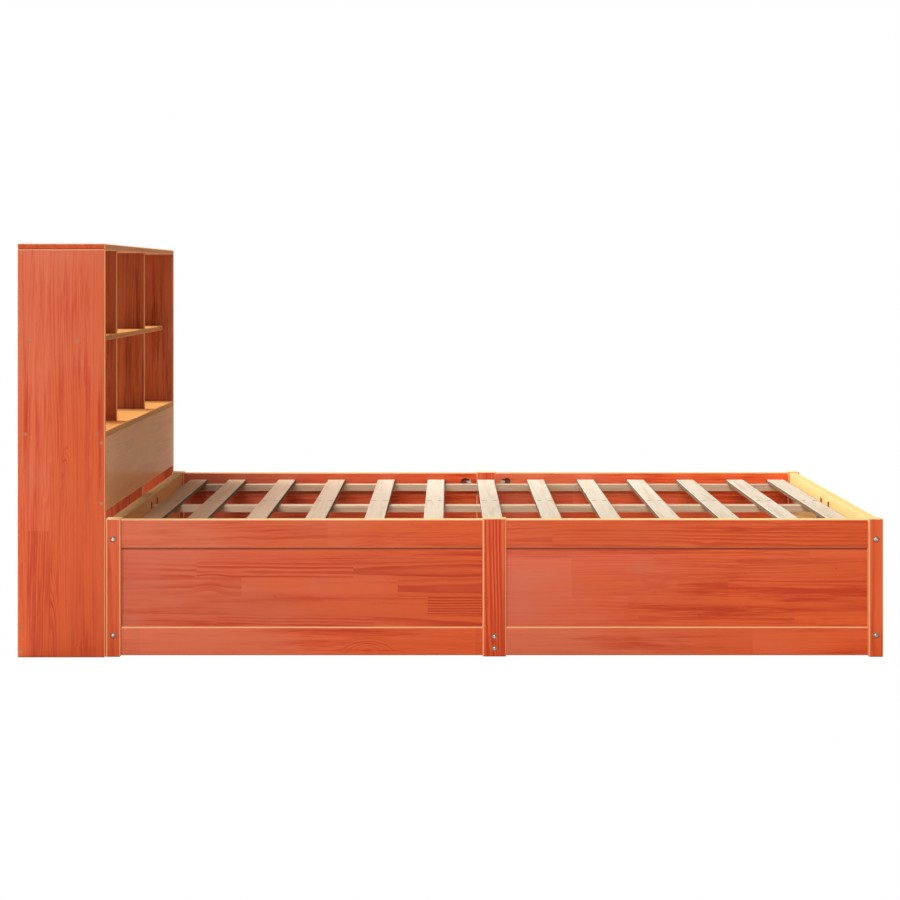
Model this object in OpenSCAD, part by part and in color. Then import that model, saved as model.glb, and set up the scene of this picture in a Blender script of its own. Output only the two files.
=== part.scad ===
// Double bed frame in stained pine, with a bookcase headboard. Sizes in millimetres.
// X runs along the bed from the bookcase to the foot, Y across it from the near
// side to the far side, Z up. The origin lies on the floor under the middle of it all.

/* [Mattress] */
// Length of the mattress that the frame takes
mattress_l = 2000; // [1900:10:2100]
// Width of the mattress that the frame takes
mattress_w = 1400; // [1200:10:1800]
// Room between the mattress and the posts, on each side
mattress_gap = 2; // [0.5:0.5:6]

/* [Posts] */
// Side of the square corner posts
post = 40; // [38:1:50]
// Height of all posts of the sides
post_h = 371; // [340:1:420]
// Width of the posts in the middle of the sides and ends
mid_post_w = 64; // [62:1:90]
// How far a side's middle post lies behind the faces of the corner posts
mid_post_setback = 6; // [3:1:10]
// Radius of the rounded edges on posts, rails and bookcase boards
arris = 3.5; // [1.5:0.5:5]

/* [Rails] */
// Height of the top and bottom rails
rail_h = 77; // [72:1:90]
// Thickness of the rails
rail_t = 28; // [26:1:31]
// How far the side rails' inner faces lie behind the posts' inner faces
rail_inner_gap = 1; // [0.5:0.5:3]
// How far the end frames' outer faces lie behind the posts' faces
end_setback = 6; // [3:1:9]
// Drop of the rails' top edges below the post tops
rail_drop = 3; // [1:1:10]
// Height of the bottom rails above the floor
rail_lift = 2.5; // [1:0.5:10]

/* [Panels] */
// Thickness of the panels
panel_t = 14; // [10:1:18]
// Thickness of the tongue round each panel
tongue_t = 6; // [4:1:8]
// Depth of the tongue round each panel
tongue_d = 8; // [5:1:10]
// Spare depth in the grooves beyond the tongues
groove_spare = 1; // [0.5:0.5:2]
// Room between a panel's face and the wood that frames it
panel_gap = 0.5; // [0.3:0.1:1.5]

/* [Slats] */
// Number of slats between the two outer ones
inner_slats = 11; // [7:2:11]
// Width of a slat
slat_w = 56; // [45:1:70]
// Thickness of a slat
slat_t = 13; // [10:1:18]
// Spacing of the inner slats
slat_pitch = 165; // [150:0.1:170]
// Room between the first slat and the head frame
head_slat_gap = 27; // [15:1:40]
// Room between the last slat and the foot frame
foot_slat_gap = 20; // [15:1:40]
// Drop of the slats' top faces below the post tops
slat_drop = 25; // [18:1:40]
// Room at each end of a slat
slat_side_gap = 2; // [1:0.5:5]
// Radius of the rounded edges on slats, ledgers and beam
soft_edge = 2; // [1:0.5:3]

/* [Slat supports] */
// Width of the ledgers along the sides
ledger_w = 40; // [30:1:60]
// Height of the ledgers
ledger_t = 22; // [18:1:30]
// Width of the beam down the middle
beam_w = 50; // [40:1:70]
// Height of the beam
beam_t = 20; // [16:1:30]
// Room at the ends of the ledgers and the beam
deck_end_gap = 0.5; // [0.3:0.1:2]
// Height of the cleats that carry the beam's ends
cleat_h = 45; // [35:1:60]
// Thickness of the cleats
cleat_t = 22; // [18:1:30]
// Width of the cleats
cleat_w = 62; // [50:1:80]
// Side of the square leg under the middle of the beam
leg = 41; // [35:1:60]

/* [Bookcase] */
// Depth of the bookcase
cab_depth = 235; // [200:5:300]
// Height of the bookcase
cab_h = 1108; // [1000:4:1300]
// Thickness of the bookcase boards
board = 15; // [15:1:20]
// How far each side of the bookcase stands out beyond the bed
cab_overhang = 8; // [3:1:20]
// Height of the lower compartments' floor above the ground
floor_z = 605; // [560:5:640]
// Height of the middle shelf's top face above the ground
shelf_z = 856; // [800:1:900]
// How far the shelf and the dividers lie behind the front
shelf_setback = 35; // [20:1:60]
// Clear width of each outer compartment
outer_bay_w = 433; // [300:1:500]
// Height of the front board below the compartments
fascia_h = 201; // [150:1:215]
// Thickness of the front board
fascia_t = 18; // [15:1:24]
// Height of the rail low at the back
rear_rail_h = 90; // [75:1:120]
// Thickness of that rail
rear_rail_t = 17; // [15:1:25]

/* [Bolts and nuts] */
// Radius of the bolts
bolt_r = 4; // [3:0.5:5]
// Radius of the bolts' domed heads
bolt_head_r = 7.5; // [6.5:0.5:9]
// Height of the bolts' domed heads
bolt_head_h = 4; // [3:0.5:6]
// Width across the corners of the hexagon socket, halved
socket_r = 2.9; // [2:0.1:3.4]
// Depth of the hexagon socket
socket_d = 2.4; // [1.5:0.1:2.8]
// Radial room round bolts in the wood
bolt_play = 0.3; // [0.1:0.1:0.8]
// Height of the upper corner bolts above the top rail's lower edge
top_bolt_rise = 25; // [20:1:35]
// Depth of the lower corner bolts below the bottom rail's upper edge
low_bolt_drop = 21; // [20:1:35]
// Height of the lower bolt through each middle post
cross_bolt_low = 22; // [18:1:26]
// Height of the upper bolt through each middle post
cross_bolt_high = 54; // [48:1:60]
// Radius of the barrel nuts
barrel_r = 6; // [5.5:0.5:7]
// Length of the barrel nuts
barrel_l = 18; // [14:1:20]
// Distance of the barrel nuts from the end of their rail
barrel_in = 35; // [30:1:45]
// Length of a bolt beyond its barrel nut's centre
bolt_tail = 9; // [7:1:15]

/* [Pocket joints] */
// Radius of the round pockets next to the middle posts
pocket_r = 12.5; // [11:0.5:14]
// Distance of a pocket's centre from the end of its rail
pocket_in = 38; // [34:1:45]
// Wood between a pocket's flat seat and the end of its rail
pocket_seat = 17; // [14:1:20]
// Depth of the pockets
pocket_d = 21; // [20:0.5:23]
// Depth of the pocket bolts' centre line behind the inner face
pocket_axis = 12; // [11.5:0.5:13]
// Distance of the pockets from the rails' outer edges
pocket_drop = 30; // [24:1:32]
// Radius of the half-moon washers
moon_r = 8.5; // [7.5:0.5:9]
// Reach of the pocket bolts into the middle post
pocket_reach = 24; // [15:1:28]
// Width across the corners of the pocket nuts, halved
nut_r = 7; // [6.5:0.5:8]
// Height of the pocket nuts
nut_h = 6; // [4:0.5:8]

/* [Dowels and screws] */
// Radius of the dowels in the bed
dowel_r = 4; // [3:0.5:5]
// Length of the dowels in the bed
dowel_l = 36; // [30:1:45]
// Depth of the dowels in the posts
dowel_in_post = 14; // [10:1:15]
// Radial room round the dowels
dowel_play = 0.1; // [0.05:0.05:0.3]
// Distance of the end rails' outer dowels from the rails' outer edges
outer_dowel = 18; // [14:1:24]
// Distance of the middle posts' dowels from the rails' grooved edges
inner_dowel = 22; // [16:1:24]
// Distance of the side rails' outer dowels from the rails' middle
mid_dowel = 17; // [14:1:20]
// Radius of the dowels in the bookcase
peg_r = 3; // [2:0.5:4]
// Depth of the bookcase dowels in each board that they cross
peg_in = 6; // [4:0.5:7]
// Depth of the bookcase dowels in each board's end
peg_out = 16; // [10:1:24]
// Distance of the bookcase dowels from the front and back of a joint
peg_edge = 30; // [20:1:50]
// Radius of the wood screws' shanks
screw_r = 2; // [1.5:0.5:3]
// Radius of the wood screws' heads
screw_head_r = 4; // [3.5:0.5:5]
// Length of the slat screws
slat_screw_l = 30; // [22:1:32]
// Spacing of the two screws in each slat
slat_screw_gap = 32; // [20:1:36]
// Spacing of the four screws in each ledger
ledger_screw_pitch = 591; // [400:1:610]
// Radius of the capped screws through the bookcase sides
cap_r = 4.5; // [3:0.5:5]
// Thickness of the caps on those screws
cap_t = 3; // [2:0.5:5]
// Length of the screws through the bookcase sides
cab_screw_l = 50; // [40:1:60]
// Distance of the shelf's rear screws from the back of the bookcase
shelf_screw_back = 34; // [25:1:60]
// Distance of the shelf's front screws from the back of the bookcase
shelf_screw_front = 162.5; // [120:0.5:175]
// Distance of the floor's screws from its front and rear edges
floor_screw_in = 22; // [12:1:50]
// Distance of the front board's lower screws from its lower edge
fascia_screw_low = 23; // [15:1:50]
// Distance of the front board's upper screws from its upper edge
fascia_screw_high = 16; // [12:1:50]
// Distance of the rear rail's screws from its edges
rear_screw_in = 13; // [10:1:30]

/* [Hidden] */
$fn = 32;

// Plan of the whole
bed_l = mattress_l + 2 * (post + mattress_gap);
bed_w = mattress_w + 2 * (post + mattress_gap);
cab_w = bed_w + 2 * cab_overhang;
x_back = -(bed_l + cab_depth) / 2;
x_head = x_back + cab_depth;
x_foot = x_head + bed_l;
x_mid = (x_head + x_foot) / 2;
y_out = bed_w / 2;

// Levels of the frames
top_z = post_h - rail_drop;
top_rail_z = top_z - rail_h;
low_rail_top = rail_lift + rail_h;
slat_z = post_h - slat_drop - slat_t;

// Faces of the side and end frames, counted from the corner posts' outer faces
side_in = post - rail_inner_gap;
side_out = side_in - rail_t;
end_in = end_setback + rail_t;
side_half = bed_l / 2 - post - mid_post_w / 2;
end_half = y_out - post - mid_post_w / 2;

// Grooves and fits
fit = 0.2;
past = 1;
groove_w = tongue_t + 2 * fit;
groove_d = tongue_d + groove_spare;
dowel_in_rail = dowel_l - dowel_in_post;
dowel_spare = 0.5;
top_bolt_z = top_rail_z + top_bolt_rise;
low_bolt_z = low_rail_top - low_bolt_drop;
pocket_top_z = top_z - pocket_drop;
pocket_low_z = rail_lift + pocket_drop;

// Bookcase levels
cab_in = cab_w / 2 - board;
cab_top_z = cab_h - board;
shelf_end = cab_depth - shelf_setback;
fascia_back = cab_depth - fascia_t;
fascia_top = floor_z - board;
fascia_z = fascia_top - fascia_h;
divider_y = cab_in - outer_bay_w - board / 2;

// Colours
stain = [0.80, 0.36, 0.22];
stain_deep = [0.70, 0.31, 0.19];
raw_pine = [0.93, 0.84, 0.72];
beech = [0.85, 0.68, 0.47];
steel = [0.72, 0.73, 0.75];

// Shapes that repeat

// Corner arcs of a rounded rectangle with its lower corner at the origin.
arc_steps = 4;
function arc(cx, cy, r, from) = [
  for (i = [0:arc_steps])
    let (a = from + 90 * i / arc_steps)
      [cx + r * cos(a), cy + r * sin(a)]];
function round_rect(w, h, r) = concat(
  arc(w - r, h - r, r, 0), arc(r, h - r, r, 90), arc(r, r, r, 180), arc(w - r, r, r, 270));

// A bar with its lower corner at the origin, rounded along the edges parallel to one axis.
module bar_x(s, r) {
  rotate([90, 0, 90]) linear_extrude(s[0]) polygon(round_rect(s[1], s[2], r));
}
module bar_y(s, r) {
  translate([0, s[1], 0]) rotate([90, 0, 0]) linear_extrude(s[1]) polygon(round_rect(s[0], s[2], r));
}
module bar_z(s, r) {
  linear_extrude(s[2]) polygon(round_rect(s[0], s[1], r));
}
// A block rounded along all its edges.
module block(s, r) {
  intersection() {
    bar_x(s, r);
    bar_y(s, r);
    bar_z(s, r);
  }
}

// Rods along each axis, from the origin towards the positive end.
module rod_x(l, r) {
  rotate([0, 90, 0]) cylinder(h = l, r = r);
}
module rod_y(l, r) {
  rotate([-90, 0, 0]) cylinder(h = l, r = r);
}

// Places. A side's pieces are drawn on the near side, with Y counted inwards from
// the corner posts' outer faces, and an end's pieces with X counted the same way.
module near() {
  translate([0, -y_out, 0]) children();
}
module far() {
  mirror([0, 1, 0]) near() children();
}
module foot_half() {
  translate([x_mid, 0, 0]) children();
}
module head_half() {
  translate([x_mid, 0, 0]) mirror([1, 0, 0]) children();
}
module at_head() {
  translate([x_head, 0, 0]) children();
}
module at_foot() {
  translate([x_foot, 0, 0]) mirror([1, 0, 0]) children();
}
// Turns a rail drawn along X with its outer face at Y = 0 into one of an end frame.
module end_far() {
  translate([end_setback, mid_post_w / 2, 0]) mirror([1, -1, 0]) children();
}
module end_near() {
  mirror([0, 1, 0]) end_far() children();
}
module flip_rail() {
  translate([0, 0, rail_h]) mirror([0, 0, 1]) children();
}

// Rails, drawn as top rails: X from the middle post outwards, Y from the outer
// face inwards, Z from the grooved lower edge up.
module pocket_cut() {
  translate([pocket_in, rail_t - pocket_d, 0]) rod_y(pocket_d + past, pocket_r);
  translate([pocket_seat, rail_t - pocket_d, -moon_r - fit])
    cube([pocket_in - pocket_seat, pocket_d + past, 2 * (moon_r + fit)]);
  translate([-past, rail_t - pocket_axis, 0]) rod_x(pocket_seat + 2 * past, bolt_r + bolt_play);
}
module dowel_cut(depth) {
  translate([-past, 0, 0]) rod_x(depth + dowel_spare + past, dowel_r + dowel_play);
}
module rail(l) {
  difference() {
    bar_x([l, rail_t, rail_h], arris);
    translate([-past, rail_t / 2 - groove_w / 2, -past]) cube([l + 2 * past, groove_w, groove_d + past]);
    translate([0, 0, rail_h - pocket_drop]) pocket_cut();
    translate([0, rail_t / 2, inner_dowel]) dowel_cut(dowel_in_rail);
    children();
  }
}
module side_rail() {
  rail(side_half)
    for (z = [rail_h / 2 - mid_dowel, rail_h / 2 + mid_dowel])
      translate([side_half, rail_t / 2, z]) mirror([1, 0, 0]) dowel_cut(dowel_in_rail);
}
// The bolt's height in an end rail is counted from the rail's grooved edge.
module end_rail(bolt_up) {
  rail(end_half) {
    translate([end_half + past, rail_t / 2, bolt_up])
      mirror([1, 0, 0]) rod_x(barrel_in + bolt_tail + 2 * past, bolt_r + bolt_play);
    translate([end_half - barrel_in, rail_t / 2 - barrel_l / 2 - fit, bolt_up])
      rod_y(rail_t / 2 + barrel_l / 2 + fit + past, barrel_r + fit);
    translate([end_half, rail_t / 2, rail_h - outer_dowel]) mirror([1, 0, 0]) dowel_cut(dowel_in_rail);
  }
}

// A panel between the rails, X from the middle post outwards.
module panel(l) {
  h = top_rail_z - low_rail_top;
  translate([0, rail_t / 2, low_rail_top]) {
    translate([panel_gap, -panel_t / 2, panel_gap])
      cube([l - 2 * panel_gap, panel_t, h - 2 * panel_gap]);
    translate([-tongue_d, -tongue_t / 2, -tongue_d]) cube([l + 2 * tongue_d, tongue_t, h + 2 * tongue_d]);
  }
}

// The cut in a post for a panel's tongue, into the face at X = 0 towards +X.
module post_groove() {
  translate([-past, rail_t / 2 - groove_w / 2, low_rail_top - groove_d])
    cube([groove_d + past, groove_w, top_rail_z - low_rail_top + 2 * groove_d]);
}

// Corner post, with X from the side rails outwards and Y inwards from the outer face.
module corner_post() {
  color(stain)
    translate([bed_l / 2 - post, 0, 0])
      difference() {
        block([post, post, post_h], arris);
        translate([0, side_out, 0]) {
          post_groove();
          for (z = [top_rail_z, rail_lift], s = [-1, 1])
            translate([0, rail_t / 2, z + rail_h / 2 + s * mid_dowel]) dowel_cut(dowel_in_post);
        }
        translate([post - end_in, post, 0]) rotate([0, 0, -90]) post_groove();
        for (z = [top_z - outer_dowel, rail_lift + outer_dowel])
          translate([post - end_in + rail_t / 2, post, z]) rotate([0, 0, -90]) dowel_cut(dowel_in_post);
        for (z = [top_bolt_z, low_bolt_z])
          translate([post - end_in + rail_t / 2, -past, z]) rod_y(post + 2 * past, bolt_r + bolt_play);
      }
}

// The holes in one flank of a middle post, towards -X from X = 0, at Y of the rails.
module mid_post_flank() {
  mirror([1, 0, 0]) {
    post_groove();
    for (z = [pocket_top_z, pocket_low_z])
      translate([-past, rail_t - pocket_axis, z])
        rod_x(pocket_reach + past + dowel_spare, bolt_r + bolt_play);
    for (z = [top_rail_z + inner_dowel, low_rail_top - inner_dowel])
      translate([0, rail_t / 2, z]) dowel_cut(dowel_in_post);
  }
}

// Middle post of a side, centred on X = 0.
module side_mid_post() {
  color(stain)
    difference() {
      translate([-mid_post_w / 2, mid_post_setback, 0])
        block([mid_post_w, side_in - mid_post_setback, post_h], arris);
      for (s = [0, 1])
        mirror([s, 0, 0]) translate([mid_post_w / 2, side_out, 0]) mid_post_flank();
      for (z = [cross_bolt_low, cross_bolt_high])
        translate([0, mid_post_setback - past, z]) rod_y(side_in + 2 * past, bolt_r + bolt_play);
    }
}

// Middle post of an end frame, as thick as its rails and level with them.
module end_mid_post() {
  color(stain)
    difference() {
      translate([end_setback, -mid_post_w / 2, 0]) block([rail_t, mid_post_w, top_z], arris);
      for (s = [0, 1])
        mirror([0, s, 0]) end_far() mid_post_flank();
      at_cleat_screws() screw_hole(cleat_screw_l);
    }
}

module side_top_rail() {
  color(stain)
    difference() {
      translate([mid_post_w / 2, side_out, top_rail_z]) side_rail();
      translate([-x_mid, 0, 0]) at_ledger_screws() screw_hole(ledger_screw_l);
    }
}
module side_low_rail() {
  color(stain) translate([mid_post_w / 2, side_out, rail_lift]) flip_rail() side_rail();
}
module side_panel() {
  color(stain_deep) translate([mid_post_w / 2, side_out, 0]) panel(side_half);
}
module end_top_rail() {
  color(stain) translate([0, 0, top_rail_z]) end_rail(top_bolt_rise);
}
module end_low_rail() {
  color(stain) translate([0, 0, rail_lift]) flip_rail() end_rail(low_bolt_drop);
}
module end_panel() {
  color(stain_deep) panel(end_half);
}

// Fasteners

// Domed bolt along +Y with its seat at the origin and a hexagon socket in its head.
module dome_bolt(l) {
  crown = (pow(bolt_head_r, 2) + pow(bolt_head_h, 2)) / (2 * bolt_head_h);
  difference() {
    union() {
      rod_y(l, bolt_r);
      intersection() {
        mirror([0, 1, 0]) rod_y(bolt_head_h, bolt_head_r);
        translate([0, crown - bolt_head_h, 0]) sphere(r = crown, $fn = 64);
      }
    }
    translate([0, -bolt_head_h - past, 0])
      rotate([-90, 0, 0]) cylinder(h = socket_d + past, r = socket_r, $fn = 6);
  }
}
corner_bolt_l = post + barrel_in + bolt_tail;
cross_bolt_l = side_in - mid_post_setback + barrel_in + bolt_tail;
end_bolt_x = bed_l / 2 - end_setback - rail_t / 2;
module side_bolts() {
  for (s = [0, 1], z = [top_bolt_z, low_bolt_z])
    translate([x_mid, 0, z]) mirror([s, 0, 0]) translate([end_bolt_x, 0, 0]) dome_bolt(corner_bolt_l);
  for (z = [cross_bolt_low, cross_bolt_high])
    translate([x_mid, mid_post_setback, z]) dome_bolt(cross_bolt_l);
}
module frame_bolts() {
  color(steel) {
    near() side_bolts();
    far() side_bolts();
  }
}

// Barrel nut with its axis along X or Y and its bore for the bolt across it.
module barrel() {
  difference() {
    translate([-barrel_l / 2, 0, 0]) rod_x(barrel_l, barrel_r);
    translate([0, -barrel_r - past, 0]) rod_y(2 * (barrel_r + past), bolt_r + fit / 2);
  }
}
module side_barrels() {
  for (s = [0, 1], z = [top_bolt_z, low_bolt_z])
    translate([x_mid, post + barrel_in, z]) mirror([s, 0, 0]) translate([end_bolt_x, 0, 0]) barrel();
  for (z = [cross_bolt_low, cross_bolt_high])
    translate([x_mid, side_in + barrel_in, z]) barrel();
}
module barrel_nuts() {
  color(steel) {
    near() side_barrels();
    far() side_barrels();
  }
}

// Stud with a half-moon washer and a nut, along -X from the pocket's flat seat.
module pocket_bolt() {
  translate([pocket_seat, rail_t - pocket_axis, 0]) {
    translate([-pocket_seat - pocket_reach, 0, 0]) rod_x(pocket_seat + pocket_reach + nut_h, bolt_r);
    intersection() {
      translate([0, -moon_r, -moon_r]) cube([moon_r, 2 * moon_r, 2 * moon_r]);
      translate([0, -moon_r, 0]) rod_y(2 * moon_r, moon_r);
    }
    rotate([0, 90, 0]) cylinder(h = moon_r + nut_h, r = nut_r, $fn = 6);
  }
}
module pocket_set() {
  for (z = [pocket_top_z, pocket_low_z])
    translate([0, 0, z]) pocket_bolt();
}
module side_pockets() {
  translate([x_mid, side_out, 0])
    for (s = [0, 1])
      mirror([s, 0, 0]) translate([mid_post_w / 2, 0, 0]) pocket_set();
}
module end_pockets() {
  end_far() pocket_set();
  end_near() pocket_set();
}
module pocket_bolts() {
  color(steel) {
    near() side_pockets();
    far() side_pockets();
    at_head() end_pockets();
    at_foot() end_pockets();
  }
}

// Dowels of one half of a side, and of one half of an end.
module side_dowels() {
  for (z = [top_rail_z + inner_dowel, low_rail_top - inner_dowel])
    translate([mid_post_w / 2 - dowel_in_post, side_in - rail_t / 2, z]) rod_x(dowel_l, dowel_r);
  for (z = [top_rail_z, rail_lift], s = [-1, 1])
    translate([bed_l / 2 - post - dowel_in_rail, side_in - rail_t / 2, z + rail_h / 2 + s * mid_dowel])
      rod_x(dowel_l, dowel_r);
}
module end_dowels() {
  for (z = [top_rail_z + inner_dowel, low_rail_top - inner_dowel])
    translate([end_setback + rail_t / 2, mid_post_w / 2 - dowel_in_post, z]) rod_y(dowel_l, dowel_r);
  for (z = [top_z - outer_dowel, rail_lift + outer_dowel])
    translate([end_setback + rail_t / 2, y_out - post - dowel_in_rail, z]) rod_y(dowel_l, dowel_r);
}
module frame_dowels() {
  color(beech) {
    for (s = [0, 1], t = [0, 1]) {
      translate([x_mid, 0, 0]) mirror([s, 0, 0]) mirror([0, t, 0]) near() side_dowels();
      mirror([0, t, 0]) translate([x_mid, 0, 0]) mirror([s, 0, 0]) translate([-bed_l / 2, 0, 0]) end_dowels();
    }
  }
}

// Wood screw along -Z with its countersunk head level with Z = 0, and its hole.
head_drop = 3;
tip = 4;
module wood_screw(l) {
  rotate_extrude()
    polygon([[0, 0], [screw_head_r, 0], [screw_r, -head_drop], [screw_r, tip - l], [0, -l]]);
}
module screw_hole(l) {
  rotate_extrude()
    polygon([
      [0, past], [screw_head_r + fit, past], [screw_head_r + fit, 0],
      [screw_r + fit, -head_drop], [screw_r + fit, -l - fit], [0, -l - fit]
    ]);
}

// Slats and what carries them

slat_from = x_head + end_in + head_slat_gap + slat_w / 2;
slat_to = x_foot - end_in - foot_slat_gap - slat_w / 2;
slat_x = concat(
  [slat_from],
  [for (i = [0:inner_slats - 1]) x_mid + (i - (inner_slats - 1) / 2) * slat_pitch],
  [slat_to]);
slat_l = bed_w - 2 * (side_in + slat_side_gap);
module at_slat_screws() {
  for (x = slat_x, s = [-1, 1])
    translate([x + s * slat_screw_gap / 2, 0, slat_z + slat_t]) children();
}
module slats() {
  color(raw_pine)
    difference() {
      for (x = slat_x)
        translate([x - slat_w / 2, -slat_l / 2, slat_z]) bar_y([slat_w, slat_l, slat_t], soft_edge);
      at_slat_screws() screw_hole(slat_screw_l);
    }
}

ledger_from = x_head + post + deck_end_gap;
ledger_l = bed_l - 2 * (post + deck_end_gap);
ledger_z = slat_z - ledger_t;
ledger_screw_l = ledger_w + rail_t / 2;
module at_ledger_screws() {
  for (i = [-1.5:1.5])
    translate([x_mid + i * ledger_screw_pitch, side_in + ledger_w, ledger_z + ledger_t / 2])
      rotate([-90, 0, 0]) children();
}
module ledger() {
  color(raw_pine)
    difference() {
      translate([ledger_from, side_in, ledger_z]) bar_x([ledger_l, ledger_w, ledger_t], soft_edge);
      at_ledger_screws() screw_hole(ledger_screw_l);
    }
}

beam_z = slat_z - beam_t;
beam_l = bed_l - 2 * (end_in + deck_end_gap);
module centre_beam() {
  color(raw_pine)
    difference() {
      translate([x_mid - beam_l / 2, -beam_w / 2, beam_z]) bar_x([beam_l, beam_w, beam_t], soft_edge);
      at_slat_screws() screw_hole(slat_screw_l);
    }
}

cleat_screw_l = cleat_t + rail_t / 2;
module at_cleat_screws() {
  for (s = [-1, 1])
    translate([end_in + cleat_t, s * cleat_w / 4, beam_z - cleat_h / 2]) rotate([0, 90, 0]) children();
}
module cleat() {
  difference() {
    translate([end_in, -cleat_w / 2, beam_z - cleat_h]) bar_y([cleat_t, cleat_w, cleat_h], soft_edge);
    at_cleat_screws() screw_hole(cleat_screw_l);
  }
}
module beam_cleats() {
  color(raw_pine) {
    at_head() cleat();
    at_foot() cleat();
  }
}

cross_l = bed_w - 2 * side_in;
module cross_rail() {
  color(raw_pine)
    difference() {
      translate([x_mid - rail_t / 2, -cross_l / 2, rail_lift]) bar_y([rail_t, cross_l, rail_h], arris);
      for (s = [0, 1], z = [cross_bolt_low, cross_bolt_high])
        mirror([0, s, 0]) translate([x_mid, -cross_l / 2, z]) {
          translate([0, -past, 0]) rod_y(barrel_in + bolt_tail + 2 * past, bolt_r + bolt_play);
          translate([-barrel_l / 2 - fit, barrel_in, 0])
            rod_x(barrel_l / 2 + rail_t / 2 + fit + past, barrel_r + fit);
        }
    }
}
module centre_leg() {
  color(raw_pine)
    translate([x_mid - leg / 2, -leg / 2, low_rail_top])
      bar_z([leg, leg, beam_z - low_rail_top], soft_edge);
}

module slat_screws() {
  color(steel) at_slat_screws() wood_screw(slat_screw_l);
}
module ledger_screws() {
  color(steel) {
    near() at_ledger_screws() wood_screw(ledger_screw_l);
    far() at_ledger_screws() wood_screw(ledger_screw_l);
  }
}
module cleat_screws() {
  color(steel) {
    at_head() at_cleat_screws() wood_screw(cleat_screw_l);
    at_foot() at_cleat_screws() wood_screw(cleat_screw_l);
  }
}

// Bookcase, with X counted forwards from its back

module in_cabinet() {
  translate([x_back, 0, 0]) children();
}

// Places of the capped screws through a side, as [X, Z].
shelf_screw_z = shelf_z - board / 2;
floor_screw_z = floor_z - board / 2;
side_screws = [
  [shelf_screw_back, shelf_screw_z],
  [shelf_screw_front, shelf_screw_z],
  [floor_screw_in, floor_screw_z],
  [cab_depth - floor_screw_in, floor_screw_z],
  [cab_depth - fascia_t / 2, fascia_z + fascia_screw_low],
  [cab_depth - fascia_t / 2, fascia_top - fascia_screw_high],
  [rear_rail_t / 2, rail_lift + rear_screw_in],
  [rear_rail_t / 2, rail_lift + rear_rail_h - rear_screw_in]
];
module at_side_screws() {
  for (p = side_screws)
    translate([p[0], -cab_w / 2, p[1]]) rotate([90, 0, 0]) children();
}
module cap_screw() {
  mirror([0, 0, 1]) {
    cylinder(h = cap_t, r = cap_r);
    cylinder(h = cab_screw_l, r = screw_r);
  }
}
module cap_hole() {
  translate([0, 0, past]) mirror([0, 0, 1]) {
    cylinder(h = cap_t + past, r = cap_r + fit / 2);
    cylinder(h = cab_screw_l + fit + past, r = screw_r + fit / 2);
  }
}
module cabinet_screws() {
  color(beech)
    in_cabinet()
      for (s = [0, 1])
        mirror([0, s, 0]) at_side_screws() cap_screw();
}
module side_screw_holes() {
  for (s = [0, 1])
    mirror([0, s, 0]) at_side_screws() cap_hole();
}

// Dowels between boards: [X, Y, Z of the joint, depth below it, depth above it].
peg_x = [peg_edge, shelf_end - peg_edge];
peg_spare = 0.4;
cab_pegs = concat(
  [for (x = peg_x, y = [-divider_y, divider_y]) [x, y, floor_z, peg_in, peg_out]],
  [for (x = peg_x, y = [-divider_y, divider_y]) [x, y, shelf_z - board, peg_out, peg_in]],
  [for (x = peg_x, y = [-divider_y, divider_y]) [x + 2 * peg_in, y, shelf_z, peg_in, peg_out]],
  [for (x = peg_x, y = [-divider_y, divider_y]) [x, y, cab_top_z, peg_out, peg_in]],
  [for (x = peg_x, y = [-cab_w / 2 + board / 2, cab_w / 2 - board / 2]) [x, y, cab_top_z, peg_out, peg_in]],
  [for (x = peg_x) [x, 0, fascia_top, peg_out, peg_in]]
);
module cabinet_dowels() {
  color(beech)
    in_cabinet()
      for (p = cab_pegs)
        translate([p[0], p[1], p[2] - p[3]]) cylinder(h = p[3] + p[4], r = peg_r);
}
module peg_holes() {
  for (p = cab_pegs)
    translate([p[0], p[1], p[2] - p[3] - peg_spare])
      cylinder(h = p[3] + p[4] + 2 * peg_spare, r = peg_r + dowel_play);
}

module cabinet_side() {
  color(stain)
    in_cabinet()
      difference() {
        translate([0, -cab_w / 2, 0]) block([cab_depth, board, cab_top_z], arris);
        side_screw_holes();
        peg_holes();
      }
}
module cabinet_top() {
  color(stain)
    in_cabinet()
      difference() {
        translate([0, -cab_w / 2, cab_top_z]) block([cab_depth, cab_w, board], arris);
        peg_holes();
      }
}
module cabinet_shelf() {
  color(stain)
    in_cabinet()
      difference() {
        translate([0, -cab_in, shelf_z - board]) bar_y([shelf_end, 2 * cab_in, board], arris);
        side_screw_holes();
        peg_holes();
      }
}
module cabinet_floor() {
  color(stain)
    in_cabinet()
      difference() {
        translate([0, -cab_in, fascia_top]) bar_y([cab_depth, 2 * cab_in, board], arris);
        side_screw_holes();
        peg_holes();
      }
}
// A divider on the near side, standing from one height to another.
module divider(from, to) {
  color(stain_deep)
    in_cabinet()
      difference() {
        translate([0, -divider_y - board / 2, from]) bar_z([shelf_end, board, to - from], arris);
        peg_holes();
      }
}
module divider_upper() {
  divider(shelf_z, cab_top_z);
}
module divider_lower() {
  divider(floor_z, shelf_z - board);
}
module cabinet_fascia() {
  color(stain)
    in_cabinet()
      difference() {
        translate([fascia_back, -cab_in, fascia_z]) bar_y([fascia_t, 2 * cab_in, fascia_h], arris);
        side_screw_holes();
      }
}
module cabinet_support() {
  color(stain_deep)
    in_cabinet()
      difference() {
        translate([rear_rail_t, -board / 2, 0])
          bar_z([cab_depth - rear_rail_t, board, fascia_top], arris);
        translate([fascia_back - fit, -board, fascia_z - fit])
          cube([fascia_t + past, 2 * board, fascia_h + past]);
        peg_holes();
      }
}
module cabinet_rear_rail() {
  color(stain)
    in_cabinet()
      difference() {
        translate([0, -cab_in, rail_lift]) bar_y([rear_rail_t, 2 * cab_in, rear_rail_h], arris);
        side_screw_holes();
      }
}

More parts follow.
